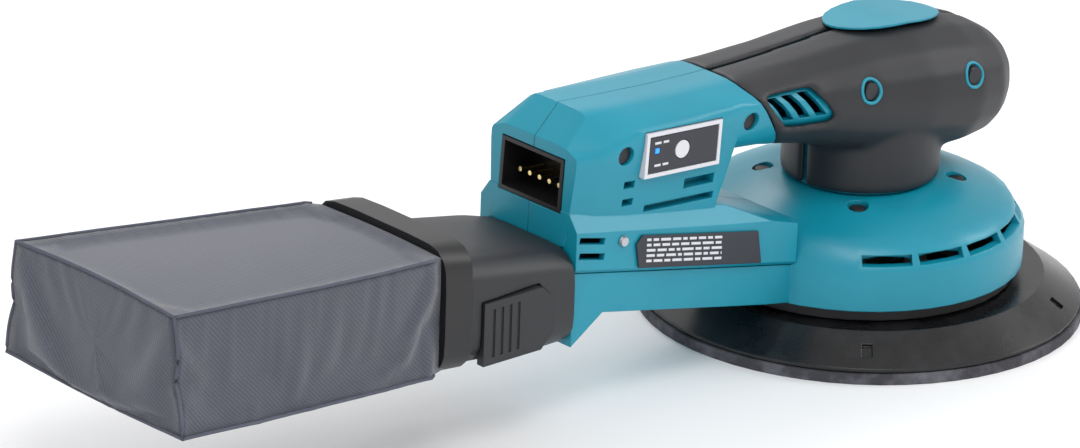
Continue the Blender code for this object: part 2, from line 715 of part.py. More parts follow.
def make_grip(name, side):
    """One half of the soft grip: handle and neck sleeve."""
    grip = body_solid(name + "_skin", 0)
    join(grip, neck_post(name + "_neck", NECK_RADIUS, NECK_FOOT, NECK_TOP))
    cut(grip, border_box(name + "_rear", False))
    cut(grip, body_solid(name + "_inside", GRIP_WALL))
    cut(grip, neck_post(name + "_bore", NECK_RADIUS - GRIP_WALL, NECK_FOOT - MM, NECK_TOP + 4 * MM))
    cut(grip, side_prism(name + "_window", VENT_WINDOW, side, 18 * MM, 45 * MM))
    cut(grip, screw_cutter(name + "_screws", side, SCREW_SINK))
    cut(grip, other_side(name + "_seam", side))
    return reveal(grip, name, charcoal())


def make_screw(name, radius, head_height, shank, length, turn, parent=None):
    """A pan head at the origin of the turn and a shank that points along its +Z."""
    bm = bmesh.new()
    stepped_pin(bm, ((radius, 0), (radius, head_height), (shank, head_height), (shank, length)), turn)
    return add(name, bm, steel(), parent)


def make_case_screws():
    for k, (s, h) in enumerate(CASE_SCREWS):
        start = case_half(s, h) * MM - SCREW_SINK + 2 * MM
        turn = across(s, h, -1, start)
        name, head = f"case_screw_{k + 1}", CASE_HOLE_RADIUS - GAP
        make_screw(name, head, CASE_SCREW_HEAD, CASE_SCREW_SHANK, CASE_SCREW_LENGTH, turn)


def make_head_screws():
    for k in range(4):
        turn = Matrix.Translation(head_screw_place(k, HEAD_SCREW_FLOOR + GAP))
        bm = bmesh.new()
        stepped_pin(bm, ((HEAD_RECESS - 2 * GAP, 0), (HEAD_RECESS - 3 * GAP, 0.9 * MM)), turn)
        add(f"head_screw_{k + 1}", bm, steel())


def make_badge():
    """Oval cover that follows the top of the grip."""
    rings = []
    count = 12
    for k in range(count + 1):
        turn = -math.cos(math.pi * k / count)
        s = turn * BADGE_LENGTH / 2
        half = max(1.2 * MM, BADGE_WIDTH / 2 * math.sqrt(max(0, 1 - turn * turn)))
        top = top_height(s / MM) * MM + GAP
        section = ((half, top), (half, top + BADGE_THICK), (-half, top + BADGE_THICK), (-half, top))
        rings.append([body_point(s, y, h) for y, h in section])
    return loft("handle_badge", rings, teal())


def top_height(s):
    for one, two in zip(BODY, BODY[1:]):
        if one[0] <= s <= two[0]:
            return one[1] + (two[1] - one[1]) * (s - one[0]) / (two[0] - one[0])


def panel_outline(grow):
    """Outline of the control panel in (s, h), mm."""
    grow = grow / MM
    return rectangle(
        (PANEL_START / MM - grow, PANEL_END / MM + grow), (PANEL_LOW / MM - grow, PANEL_TOP / MM + grow)
    )


def switch_outline(grow, travel):
    grow = grow / MM
    return rectangle(
        (SWITCH_START - grow, SWITCH_END + travel / MM + grow), (SWITCH_LOW - grow, SWITCH_TOP + grow)
    )


def make_panel():
    """White frame, dark overlay, round button and lamp on the near side."""
    outer = PANEL_PROUD
    white = material("white_gloss", WHITE, 0.3)
    frame = side_prism("control_panel_frame", panel_outline(0), -1, outer - PANEL_DEPTH, outer, white)
    floor = outer - OVERLAY_DEPTH
    cut(frame, side_prism("overlay_room", panel_outline(-PANEL_RIM + GAP), -1, floor, outer + 5 * MM))
    low, high = floor + GAP, floor + GAP + OVERLAY_THICK
    shade = side_prism("panel_overlay", panel_outline(-PANEL_RIM), -1, low, high, black())
    hole = rod("button_hole", BUTTON_RADIUS + GAP, -5 * MM, 9 * MM, turn=across(*BUTTON_PLACE, -1, outer))
    led_hole = side_prism("led_hole", led_outline(GAP / MM), -1, floor, outer + 2 * MM)
    cut(frame, hole)
    cut(shade, hole, led_hole)
    turn, satin = across(*BUTTON_PLACE, -1, outer), material("button_white", WHITE, 0.4)
    rod("wireless_button", BUTTON_RADIUS, 0, PANEL_DEPTH - MM, satin, turn=turn)
    side_prism("status_lamp", led_outline(0), -1, low, low + 0.55 * MM, material("lamp_blue", BLUE, 0.2))


def led_outline(grow):
    s, h = LED_PLACE
    return rectangle((s - LED_HALF - grow, s + LED_HALF + grow), (h - LED_HALF - grow, h + LED_HALF + grow))


def make_switch_and_dial():
    """Slide switch and speed wheel on the far side."""
    top = SWITCH_FLOOR + SIDE_DEPTH
    side_prism("power_switch", switch_outline(0, 0), 1, SWITCH_FLOOR, top, black())
    turn = across(*DIAL_PLACE, 1, top)
    dial = rod("speed_dial", DIAL_RADIUS, 0, SIDE_DEPTH, black(), steps=24, turn=turn)
    s, h = DIAL_PLACE
    mark = rectangle((s - 0.6, s + 0.6), (h + 2.5, h + 9))
    cut(dial, side_prism("dial_mark", mark, 1, top - 0.8 * MM, top + 2 * MM))


def make_socket():
    """Inlet for the supply lead: an open tub with a row of pins."""
    low = (SOCKET_REAR - SOCKET_DEPTH - 2 * MM, -SOCKET_HALF, SOCKET_LOW)
    high = (SOCKET_REAR, SOCKET_HALF, SOCKET_TOP)
    tub = box("power_socket", low, high, black(), turn=BODY_TURN)
    wall = SOCKET_WALL
    low = (SOCKET_REAR - SOCKET_DEPTH, -SOCKET_HALF + wall, SOCKET_LOW + wall)
    high = (SOCKET_REAR + 5 * MM, SOCKET_HALF - wall, SOCKET_TOP - wall)
    cut(tub, box("socket_inside", low, high, turn=BODY_TURN))
    for k in range(PIN_COUNT):
        y = (k - (PIN_COUNT - 1) / 2) * PIN_PITCH
        start = body_point(SOCKET_REAR - SOCKET_DEPTH + GAP, y, PIN_HEIGHT)
        turn = Matrix.Translation(start) @ Matrix.Rotation(-math.pi / 2 + PITCH, 4, "Y")
        brass = material("brass", COPPER, 0.3, 1.0)
        rod(f"power_pin_{k + 1}", PIN_RADIUS, 0, SOCKET_DEPTH - PIN_REACH, brass, steps=10, turn=turn)


def make_board():
    low = (BOARD_START, -BOARD_HALF, BOARD_LOW)
    high = (BOARD_END, BOARD_HALF, BOARD_LOW + BOARD_THICK)
    box("controller_board", low, high, material("circuit_board", GREEN, 0.5), turn=BODY_TURN)
    for k, s in enumerate((104 * MM, 118 * MM)):
        turn = Matrix.Translation(body_point(s, 0, BOARD_LOW + BOARD_THICK + GAP))
        rod(f"capacitor_{k + 1}", 5 * MM, 0, 9 * MM, black(), steps=16, turn=turn)


def make_plate():
    """Blank rating plate on the near side of the tier, with its corner cut off."""
    slope = (TIER[3][3] - TIER[1][3]) / (TIER[3][0] - TIER[1][0])
    high, clear = PLATE_HEIGHT / MM, 1.6
    outline = [(PLATE_START, clear), (PLATE_START, clear + high), (PLATE_END + 3 * MM, clear + high)]
    outline += [(PLATE_END, high - 1.5), (PLATE_END, clear)]
    rings = []
    for y in (-TIER_HALF - GAP, -TIER_HALF - GAP - PLATE_THICK):
        ring = []
        for x, h in outline:
            low = TIER[1][3] * MM + slope * (x - TIER[1][0] * MM)
            ring.append((x - 0.16 * h * MM, y, low + h * MM))
        rings.append(ring)
    loft("rating_plate", rings, black())


def make_tier_screw():
    place = Matrix.Translation((TIER_SCREW[0], -TIER_HALF - GAP, TIER_SCREW[1]))
    bm = bmesh.new()
    stepped_pin(bm, ((1.9 * MM, 0), (1.5 * MM, 0.9 * MM)), place @ Matrix.Rotation(math.pi / 2, 4, "X"))
    add("tier_screw", bm, steel())


def make_motor():
    """Stator, coils, bearings and their holders, all still when the motor runs."""
    top = STATOR_LOW + STATOR_HEIGHT
    turned("motor_stator", ring(STATOR_BORE, STATOR_RADIUS, STATOR_LOW, top), steel(), steps=HIDDEN_STEPS)
    copper = material("copper", COPPER, 0.35, 1.0)
    for name, low in (("coils_upper", top + GAP), ("coils_lower", STATOR_LOW - GAP - COIL_RISE)):
        turned(name, ring(*COIL_RADII, low, low + COIL_RISE), copper, steps=HIDDEN_STEPS)
    seat = MOTOR_BEARING_RADIUS + GAP
    low = LOWER_BEARING_LOW
    plate_top = STATOR_LOW - 2 * GAP - COIL_RISE
    holder = [(seat, low), (seat + BEARING_SEAT, low), (seat + BEARING_SEAT, plate_top - 2 * MM)]
    holder += [(PLATE_HOLE - GAP, plate_top - 2 * MM), (PLATE_HOLE - GAP, plate_top), (seat, plate_top)]
    aluminium = material("aluminium", STEEL, 0.45, 1.0)
    turned("bearing_plate", holder, aluminium, steps=HIDDEN_STEPS)
    up = UPPER_BEARING_LOW
    cap = [(seat, up), (seat, up + MOTOR_BEARING_HEIGHT), (seat + BEARING_SEAT, up + MOTOR_BEARING_HEIGHT)]
    cap += [(seat + BEARING_SEAT, up), (STATOR_RADIUS, up), (STATOR_RADIUS, top + GAP)]
    inner = STATOR_RADIUS - 1.5 * MM
    cap += [(inner, top + GAP), (inner, up - 2 * MM), (seat, up - 2 * MM)]
    turned("bearing_cap", cap, aluminium, steps=HIDDEN_STEPS)
    race = SHAFT_RADIUS + RUN
    for name, low in (("lower_bearing", LOWER_BEARING_LOW), ("upper_bearing", UPPER_BEARING_LOW)):
        profile = ring(race, MOTOR_BEARING_RADIUS, low, low + MOTOR_BEARING_HEIGHT)
        turned(name, profile, steel(), steps=FINE_STEPS)
    outer = SKIRT_RADIUS - WALL - GAP
    rubber = material("rubber", BLACK, 0.8)
    turned("pad_brake", ring(BRAKE_INNER, outer, BRAKE_LOW, BRAKE_LOW + BRAKE_HEIGHT), rubber)


def ring(inner, outer, low, high):
    return [(inner, low), (outer, low), (outer, high), (inner, high)]


def make_rotor():
    """Everything on the motor shaft, with the pad's bearing beside it."""
    rod("motor_shaft", SHAFT_RADIUS, PAD_BEARING_TOP + MM, SHAFT_TOP, steel())
    rod_radius = STATOR_BORE - ROTOR_AIR
    core = ring(SHAFT_RADIUS + GAP, rod_radius, STATOR_LOW + MM, STATOR_LOW + STATOR_HEIGHT - MM)
    turned("rotor_core", core, steel(), steps=HIDDEN_STEPS)
    fan = turned("dust_fan", fan_profile(), black(), steps=HIDDEN_STEPS)
    boxes = []
    reach = FAN_RADIUS - FAN_HUB_RADIUS
    for k in range(FAN_BLADES):
        turn = Matrix.Rotation(2 * math.pi * k / FAN_BLADES, 4, "Z")
        middle = FAN_HUB_RADIUS + reach / 2 - 0.5 * MM
        height = FAN_LOW + FAN_PLATE + FAN_BLADE_HEIGHT / 2 - 0.3 * MM
        place = turn @ Matrix.Translation((middle, 0, height))
        boxes.append(((reach, FAN_BLADE_THICK, FAN_BLADE_HEIGHT), place))
    join(fan, merged("fan_blades", boxes))
    low, high = PAD_BEARING_TOP - PAD_BEARING_HEIGHT, PAD_BEARING_TOP
    bearing = ring(SPINDLE_RADIUS + RUN, PAD_BEARING_RADIUS, low, high)
    turned("pad_bearing", bearing, steel(), parent=pad_axis, steps=FINE_STEPS)
    low, high = BALANCER_LOW, BALANCER_LOW + BALANCER_HEIGHT
    hub = rod("balancer", BALANCER_HUB_RADIUS, low, high, steel(), parent=pad_axis, steps=32)
    weight = rod("balancer_weight", BALANCER_RADIUS, (low + high) / 2, high, steps=32)
    cut(weight, box("balancer_side", (-3 * MM, -50 * MM, 0), (50 * MM, 50 * MM, 50 * MM)))
    join(hub, weight)
    seat = rod("bearing_seat", PAD_BEARING_RADIUS + GAP, 0, PAD_BEARING_TOP + GAP, parent=pad_axis)
    cut(hub, seat)
    cut(hub, rod("shaft_seat", SHAFT_RADIUS + GAP, 10 * MM, 50 * MM))


def fan_profile():
    bore = SHAFT_RADIUS + GAP
    plate = FAN_LOW + FAN_PLATE
    hub = plate + FAN_BLADE_HEIGHT
    edge = [(bore, FAN_LOW), (FAN_RADIUS, FAN_LOW), (FAN_RADIUS, plate)]
    return edge + [(FAN_HUB_RADIUS, plate), (FAN_HUB_RADIUS, hub), (bore, hub)]


def dust_holes(name):
    bm = bmesh.new()
    for count, radius in DUST_CIRCLES:
        for k in range(count):
            angle = 2 * math.pi * (k + 0.5) / count
            place = Matrix.Translation((radius * math.cos(angle), radius * math.sin(angle), 0))
            rings = ((DUST_HOLE_RADIUS, -PAD_HEIGHT / 2), (DUST_HOLE_RADIUS, PAD_HEIGHT * 1.5))
            stepped_pin(bm, rings, place, steps=10)
    return add(name, bm, None, pad_axis, helper=True)


def notch_cutter():
    """Small square holes in the bevel of the pad."""
    boxes = []
    middle = (PAD_RADIUS + PAD_SHOULDER_RADIUS) / 2
    for k in range(NOTCH_COUNT):
        turn = Matrix.Rotation(NOTCH_ANGLE + 2 * math.pi * k / NOTCH_COUNT, 4, "Z")
        outward = turn @ Matrix.Translation((middle, 0, (HOOK_HEIGHT + PAD_HEIGHT) / 2 + MM))
        place = outward @ Matrix.Rotation(math.radians(35), 4, "Y")
        boxes.append(((5 * MM, NOTCH_SIZE, NOTCH_SIZE), place))
    return merged("pad_notches", boxes, pad_axis)


def make_pad():
    low = HOOK_HEIGHT + GAP
    hub_top = PAD_HEIGHT + PAD_HUB_RISE
    hole = SCREW_RADIUS + GAP
    edge = PAD_RADIUS - PAD_LIP
    profile = [(PAD_RECESS_RADIUS, low), (edge, low), (edge, low + PAD_EDGE)]
    profile += [(PAD_SHOULDER_RADIUS, PAD_HEIGHT), (PAD_HUB_RADIUS, PAD_HEIGHT)]
    profile += [(PAD_HUB_RADIUS, hub_top), (hole, hub_top), (hole, PAD_RECESS_DEPTH)]
    profile += [(PAD_RECESS_RADIUS, PAD_RECESS_DEPTH)]
    rubber = material("pad_rubber", BLACK, 0.7)
    plate = turned("pad_body", profile, rubber, parent=pad_axis, steps=PAD_STEPS)
    cut(plate, notch_cutter(), dust_holes("pad_dust_holes"))
    pile = ring(PAD_RECESS_RADIUS, PAD_RADIUS, 0, HOOK_HEIGHT)
    hook = turned("hook_layer", pile, material("hook_grey", GREY, 0.95), parent=pad_axis, steps=PAD_STEPS)
    cut(hook, dust_holes("hook_dust_holes"))
    foot = hub_top + GAP
    flange = SPINDLE_FLANGE
    spindle = [(hole, foot), (flange, foot), (flange, foot + 2 * MM), (SPINDLE_RADIUS, foot + 2 * MM)]
    spindle += [(SPINDLE_RADIUS, PAD_BEARING_TOP), (hole, PAD_BEARING_TOP)]
    turned("pad_spindle", spindle, steel(), parent=pad_axis, steps=FINE_STEPS)
    washer_top = PAD_RECESS_DEPTH - GAP
    washer = ring(hole, WASHER_RADIUS, washer_top - WASHER_HEIGHT, washer_top)
    turned("pad_washer", washer, steel(), parent=pad_axis, steps=FINE_STEPS)
    head = washer_top - WASHER_HEIGHT - GAP - SCREW_HEAD_HEIGHT
    length = PAD_BEARING_TOP - MM - head
    turn = Matrix.Translation((0, 0, head))
    make_screw("pad_screw", SCREW_HEAD_RADIUS, SCREW_HEAD_HEIGHT, SCREW_RADIUS, length, turn, pad_axis)


def bag_ring(station, inset=0.0, share=0.5, corner=5.0):
    """Rounded section of the adapter, collar or bag: x, top, bottom, upper and lower half width."""
    x, top, bottom, upper, lower = (v * MM for v in station)
    corner = corner * MM
    top, bottom, upper, lower = top - inset, bottom + inset, upper - inset, lower - inset
    right = [(upper - corner, top), (upper, top - corner)]
    right += [(lower, bottom + corner), (lower - corner, bottom)]
    outline = [Vector(p) for p in right] + [Vector((-y, z)) for y, z in reversed(right)]
    return [(x, p.x, p.y) for p in rounded(outline, share)]


def bag_loft(name, stations, inset=0.0, finish=None, corner=5.0):
    return loft(name, [bag_ring(station, inset, corner=corner) for station in stations], finish)


def make_adapter():
    """Hard neck of the dust bag: it slides over the nozzle."""
    stations = [(x, top, bottom, half, half) for x, top, bottom, half in ADAPTER]
    adapter = bag_loft("bag_adapter", stations, finish=charcoal(), corner=6.0)
    room = SLIDE
    low = (NOZZLE_END - MM, -NOZZLE_HALF - room, NOZZLE_LOW - room)
    high = (-140 * MM, NOZZLE_HALF + room, NOZZLE_TOP + room)
    cut(adapter, box("nozzle_room", low, high))
    low = (ADAPTER[-1][0] * MM - MM, -NOZZLE_HALF, NOZZLE_LOW + 6 * MM)
    high = (NOZZLE_END, NOZZLE_HALF, NOZZLE_TOP + 6 * MM)
    cut(adapter, box("adapter_inside", low, high))
    for side in (-1, 1):
        cut(adapter, latch_room(side), spring_room(side))
    return adapter


def latch_outline(grow):
    front, rear, low, top = LATCH_START + grow, LATCH_END - grow, LATCH_LOW - grow, LATCH_TOP + grow
    nose = LATCH_NOSE
    end = [(front - nose, low), (front, low + nose), (front, top - nose), (front - nose, top)]
    return [(rear, low)] + end + [(rear, top)]


def latch_prism(name, grow, side, inner, outer, finish=None):
    rings = [[(x, side * y, z) for x, z in latch_outline(grow)] for y in (inner, outer)]
    return loft(name, rings, finish)


def latch_room(side):
    inner = LATCH_FACE - LATCH_THICK - LATCH_TRAVEL - GAP
    return latch_prism(f"latch_room_{side}", SLIDE, side, inner, 60 * MM)


def side_turn(side, x, y, z):
    """Stands a piece that points along +Z on the bag's side, pointing inwards."""
    return Matrix.Translation((x, side * y, z)) @ Matrix.Rotation(side * math.pi / 2, 4, "X")


def spring_room(side):
    depth = LATCH_THICK + LATCH_TRAVEL + SPRING_LENGTH + 2 * GAP
    turn = side_turn(side, SPRING_PLACE[0], LATCH_FACE, SPRING_PLACE[1])
    return rod(f"spring_room_{side}", SPRING_RADIUS + SPRING_WIRE + GAP, 0, depth, steps=16, turn=turn)


def make_latch(side, word):
    latch = latch_prism(f"latch_{word}", 0, side, LATCH_FACE - LATCH_THICK, LATCH_FACE, charcoal())
    grooves = []
    for k in range(4):
        x = LATCH_END + (4 + 3.4 * k) * MM
        place = Matrix.Translation((x, side * LATCH_FACE, (LATCH_LOW + LATCH_TOP) / 2))
        grooves.append(((1.2 * MM, 1 * MM, LATCH_TOP - LATCH_LOW - 5 * MM), place))
    cut(latch, merged(f"latch_grooves_{word}", grooves))
    behind = LATCH_FACE - LATCH_THICK - LATCH_TRAVEL - GAP
    turn = side_turn(side, SPRING_PLACE[0], behind, SPRING_PLACE[1])
    make_spring(f"latch_spring_{word}", turn)


def make_spring(name, turn):
    """Coil spring as a bevelled curve, pointing along +Z before it is turned."""
    curve = bpy.data.curves.new(name, "CURVE")
    curve.dimensions = "3D"
    curve.bevel_depth = SPRING_WIRE
    curve.bevel_resolution = 1
    curve.use_fill_caps = True
    spline = curve.splines.new("POLY")
    count = SPRING_TURNS * SPRING_FACETS + 1
    spline.points.add(count - 1)
    rise = (SPRING_LENGTH - 2 * SPRING_WIRE) / (count - 1)
    for k in range(count):
        angle = 2 * math.pi * k / SPRING_FACETS
        beside = SPRING_RADIUS * Vector((math.cos(angle), math.sin(angle), 0))
        point = turn @ (beside + Vector((0, 0, k * rise + SPRING_WIRE)))
        spline.points[k].co = (*point, 1)
    obj = bpy.data.objects.new(name, curve)
    curve.materials.append(steel())
    obj.parent = origin
    parts.objects.link(obj)


def make_bag():
    collar = bag_loft("bag_collar", COLLAR, finish=black(), corner=6.0)
    inner = [(x + end, *rest) for end, (x, *rest) in zip((3, -3), COLLAR)]
    cut(collar, bag_loft("collar_inside", inner, COLLAR_WALL, corner=6.0))
    bag = bag_loft("dust_bag", BAG, finish=material("bag_fabric", FABRIC, 0.9), corner=6.0)
    inner = [list(station) for station in BAG]
    inner[0][0] += 3
    inner[-1][0] += BAG_WALL / MM
    cut(bag, bag_loft("bag_inside", inner, BAG_WALL, corner=5.0))


make_head()
for side, word in ((1, "left"), (-1, "right")):
    make_case(f"case_{word}", side)
    make_grip(f"grip_{word}", side)
    make_latch(side, word)
make_case_screws()
make_head_screws()
make_badge()
make_panel()
make_switch_and_dial()
make_socket()
make_board()
make_plate()
make_tier_screw()
make_motor()
make_rotor()
make_pad()
make_adapter()
make_bag()
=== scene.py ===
import math

import bmesh
import bpy
import numpy as np
from mathutils import Matrix, Vector


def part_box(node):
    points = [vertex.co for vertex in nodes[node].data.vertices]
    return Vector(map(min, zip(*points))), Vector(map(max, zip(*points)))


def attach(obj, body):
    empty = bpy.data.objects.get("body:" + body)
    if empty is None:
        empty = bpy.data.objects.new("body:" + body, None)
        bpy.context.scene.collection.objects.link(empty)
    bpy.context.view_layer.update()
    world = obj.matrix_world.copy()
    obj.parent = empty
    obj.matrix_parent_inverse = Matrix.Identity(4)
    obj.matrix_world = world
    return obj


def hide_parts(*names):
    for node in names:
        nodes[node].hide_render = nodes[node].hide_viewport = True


# Random orbital sander: soft-grip handle over a round head, fabric dust bag behind.
# Lengths are in millimetres in the settings and in metres in the meshes. +X is the nose.

mm = 0.001
axisX = 122.75  # the motor axis, in mm along +X


def hexLinear(text):
    # sRGB hex to the linear colour a shader wants
    parts = [int(text[i:i + 2], 16) / 255 for i in (0, 2, 4)]
    return tuple(c / 12.92 if c <= 0.04045 else ((c + 0.055) / 1.055) ** 2.4 for c in parts) + (1.0,)


def addNode(tree, kind, settings=None, links=None):
    # one node: settings go to a socket of that name or number, or else to the node itself
    node = tree.nodes.new(kind)
    for key, value in (settings or {}).items():
        if isinstance(key, int) or key in node.inputs:
            node.inputs[key].default_value = value
        else:
            setattr(node, key, value)
    for key, source in (links or {}).items():
        tree.links.new(source, node.inputs[key])
    return node


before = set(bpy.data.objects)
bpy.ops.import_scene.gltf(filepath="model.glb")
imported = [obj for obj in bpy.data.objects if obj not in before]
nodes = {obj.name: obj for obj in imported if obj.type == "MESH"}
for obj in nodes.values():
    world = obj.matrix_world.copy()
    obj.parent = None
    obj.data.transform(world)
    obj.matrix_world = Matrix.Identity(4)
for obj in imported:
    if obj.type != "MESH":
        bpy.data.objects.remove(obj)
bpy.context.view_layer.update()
print("frame loaded:", len(nodes), "nodes")

cameraLook = {
    "place": (-1.30335, -1.4149, 0.8022),
    "forward": (0.6265, 0.6904, -0.3618),
    "roll": 1.93,  # degrees
    "lens": 215.34,
}


def makeCamera(look):
    data = bpy.data.cameras.new("camera")
    data.lens, data.sensor_width = look["lens"], 36.0
    data.clip_start, data.clip_end = 0.05, 50
    camera = bpy.data.objects.new("camera", data)
    bpy.context.scene.collection.objects.link(camera)
    forward = Vector(look["forward"]).normalized()
    right = forward.cross(Vector((0, 0, 1))).normalized()
    up = right.cross(forward)
    roll = math.radians(look["roll"])
    across = right * math.cos(roll) + up * math.sin(roll)
    over = up * math.cos(roll) - right * math.sin(roll)
    turn = Matrix((across, over, -forward)).transposed()
    camera.matrix_world = Matrix.Translation(look["place"]) @ turn.to_4x4()
    bpy.context.scene.camera = camera


makeCamera(cameraLook)

plasticLook = {
    "teal": {"base": "0893AB", "dark": "067D93", "rough": 0.36, "grain": 0.35, "depth": 0.03, "edge": 0.5},
    "soft": {"base": "222327", "dark": "1B1C20", "rough": 0.5, "grain": 0.5, "depth": 0.05, "edge": 0.8},
    "hard": {"base": "27282C", "dark": "1F2023", "rough": 0.48, "grain": 0.4, "depth": 0.03, "edge": 0.4},
    "black": {"base": "151517", "dark": "101012", "rough": 0.42, "grain": 0.3, "depth": 0.02, "edge": 0.3},
    "satin": {"base": "3A3B3F", "dark": "303135", "rough": 0.45, "grain": 0.4, "depth": 0.02, "edge": 0.2},
    "white": {"base": "D9DADF", "dark": "CCCDD3", "rough": 0.25, "grain": 0.6, "depth": 0.005, "edge": 0.3},
}


def objectCoordinates(tree):
    return addNode(tree, "ShaderNodeTexCoord").outputs["Object"]


def emptyMaterial(name, **sockets):
    made = bpy.data.materials.new(name)
    made.use_nodes = True
    shader = made.node_tree.nodes["Principled BSDF"]
    for key, value in sockets.items():
        shader.inputs[key.replace("_", " ")].default_value = value
    return made, made.node_tree, shader


def mixColours(tree, factor, first, second):
    made = addNode(tree, "ShaderNodeMix", {"data_type": "RGBA"})
    made.inputs[6].default_value, made.inputs[7].default_value = first, second
    tree.links.new(factor, made.inputs[0])
    return made.outputs[2]


def mouldedPlastic(name, look, **sockets):
    # injection moulding: an even colour, a fine spark-eroded grain, edges softened by the tool
    made, tree, shader = emptyMaterial(name, **sockets)
    place = objectCoordinates(tree)
    cloud = addNode(tree, "ShaderNodeTexNoise", {"Scale": 28.0, "Detail": 4.0}, {"Vector": place})
    colour = mixColours(tree, cloud.outputs["Fac"], hexLinear(look["base"]), hexLinear(look["dark"]))
    tree.links.new(colour, shader.inputs["Base Color"])
    fine = {"Scale": 1 / (look["grain"] * mm), "Detail": 3.0}
    grain = addNode(tree, "ShaderNodeTexNoise", fine, {"Vector": place})
    span = {"To Min": look["rough"] - 0.06, "To Max": look["rough"] + 0.08}
    rough = addNode(tree, "ShaderNodeMapRange", span, {"Value": grain.outputs["Fac"]})
    tree.links.new(rough.outputs["Result"], shader.inputs["Roughness"])
    rounding = addNode(tree, "ShaderNodeBevel", {"samples": 6, "Radius": look["edge"] * mm})
    bump = addNode(tree, "ShaderNodeBump", {"Strength": 0.5, "Distance": look["depth"] * mm},
                   {"Height": grain.outputs["Fac"], "Normal": rounding.outputs["Normal"]})
    tree.links.new(bump.outputs["Normal"], shader.inputs["Normal"])
    return made


metalLook = {
    "steel": {"base": "B9BBBF", "rough": 0.28, "line": 0.25},
    "laminated": {"base": "8C8E92", "rough": 0.4, "line": 0.5},
    "aluminium": {"base": "C9CBCE", "rough": 0.38, "line": 0.4},
    "copper": {"base": "B86F3C", "rough": 0.3, "line": 0.5},
    "brass": {"base": "D8C48A", "rough": 0.22, "line": 0.3},
}


def machinedMetal(name, look):
    # turned or cut metal: fine tool lines across a bright surface
    made, tree, shader = emptyMaterial(name, Metallic=1.0, Base_Color=hexLinear(look["base"]))
    place = objectCoordinates(tree)
    squeeze = addNode(tree, "ShaderNodeMapping", {"Scale": (0.15, 0.15, 1.0)}, {"Vector": place})
    lines = addNode(tree, "ShaderNodeTexNoise", {"Scale": 1 / (look["line"] * mm), "Detail": 2.0},
                    {"Vector": squeeze.outputs["Vector"]})
    span = {"To Min": look["rough"] - 0.08, "To Max": look["rough"] + 0.1}
    rough = addNode(tree, "ShaderNodeMapRange", span, {"Value": lines.outputs["Fac"]})
    tree.links.new(rough.outputs["Result"], shader.inputs["Roughness"])
    bump = addNode(tree, "ShaderNodeBump", {"Strength": 0.3, "Distance": 0.02 * mm},
                   {"Height": lines.outputs["Fac"]})
    tree.links.new(bump.outputs["Normal"], shader.inputs["Normal"])
    return made


def mouldedRubber(name, base, worn, rough):
    # moulded rubber: nearly black with dusty, paler patches where it has been handled
    made, tree, shader = emptyMaterial(name)
    place = objectCoordinates(tree)
    dust = addNode(tree, "ShaderNodeTexNoise", {"Scale": 60.0, "Detail": 8.0, "Roughness": 0.7},
                   {"Vector": place})
    patch = addNode(tree, "ShaderNodeMapRange", {"From Min": 0.45, "From Max": 0.75},
                    {"Value": dust.outputs["Fac"]})
    colour = mixColours(tree, patch.outputs["Result"], hexLinear(base), hexLinear(worn))
    tree.links.new(colour, shader.inputs["Base Color"])
    level = addNode(tree, "ShaderNodeMapRange", {"To Min": rough - 0.1, "To Max": rough + 0.15},
                    {"Value": dust.outputs["Fac"]})
    tree.links.new(level.outputs["Result"], shader.inputs["Roughness"])
    rounding = addNode(tree, "ShaderNodeBevel", {"samples": 6, "Radius": 0.5 * mm})
    bump = addNode(tree, "ShaderNodeBump", {"Strength": 0.3, "Distance": 0.05 * mm},
                   {"Height": dust.outputs["Fac"], "Normal": rounding.outputs["Normal"]})
    tree.links.new(bump.outputs["Normal"], shader.inputs["Normal"])
    return made


def wovenFabric(name, look):
    # twill: diagonal ribs of thread on the piece's own UV map, which is in millimetres
    made, tree, shader = emptyMaterial(name, Sheen_Weight=0.35, Sheen_Roughness=0.5)
    flat = addNode(tree, "ShaderNodeUVMap", {"uv_map": "cloth"}).outputs["UV"]
    turn = addNode(tree, "ShaderNodeMapping", {"Rotation": (0, 0, math.radians(look["slant"]))},
                   {"Vector": flat})
    ribs = addNode(tree, "ShaderNodeTexWave", {"Scale": 1 / look["thread"] / 3.1416 * 0.5, "Distortion": 0.6,
                   "Detail": 1.0, "Detail Scale": 3.0}, {"Vector": turn.outputs["Vector"]})
    fuzz = addNode(tree, "ShaderNodeTexNoise", {"Scale": 1.4, "Detail": 5.0}, {"Vector": flat})
    wide = addNode(tree, "ShaderNodeTexNoise", {"Scale": 0.06, "Detail": 4.0}, {"Vector": flat})
    weave = addNode(tree, "ShaderNodeMath", {"operation": "MULTIPLY"},
                    {0: ribs.outputs["Fac"], 1: fuzz.outputs["Fac"]})
    thread = mixColours(tree, weave.outputs[0], hexLinear(look["dark"]), hexLinear(look["base"]))
    shade = addNode(tree, "ShaderNodeMapRange", {"To Min": 0.86, "To Max": 1.12},
                    {"Value": wide.outputs["Fac"]})
    tone = addNode(tree, "ShaderNodeVectorMath", {"operation": "SCALE"},
                   {0: thread, "Scale": shade.outputs["Result"]})
    tree.links.new(tone.outputs["Vector"], shader.inputs["Base Color"])
    shader.inputs["Roughness"].default_value = look["rough"]
    bump = addNode(tree, "ShaderNodeBump", {"Strength": 0.5, "Distance": 0.12 * mm},
                   {"Height": weave.outputs[0]})
    tree.links.new(bump.outputs["Normal"], shader.inputs["Normal"])
    return made


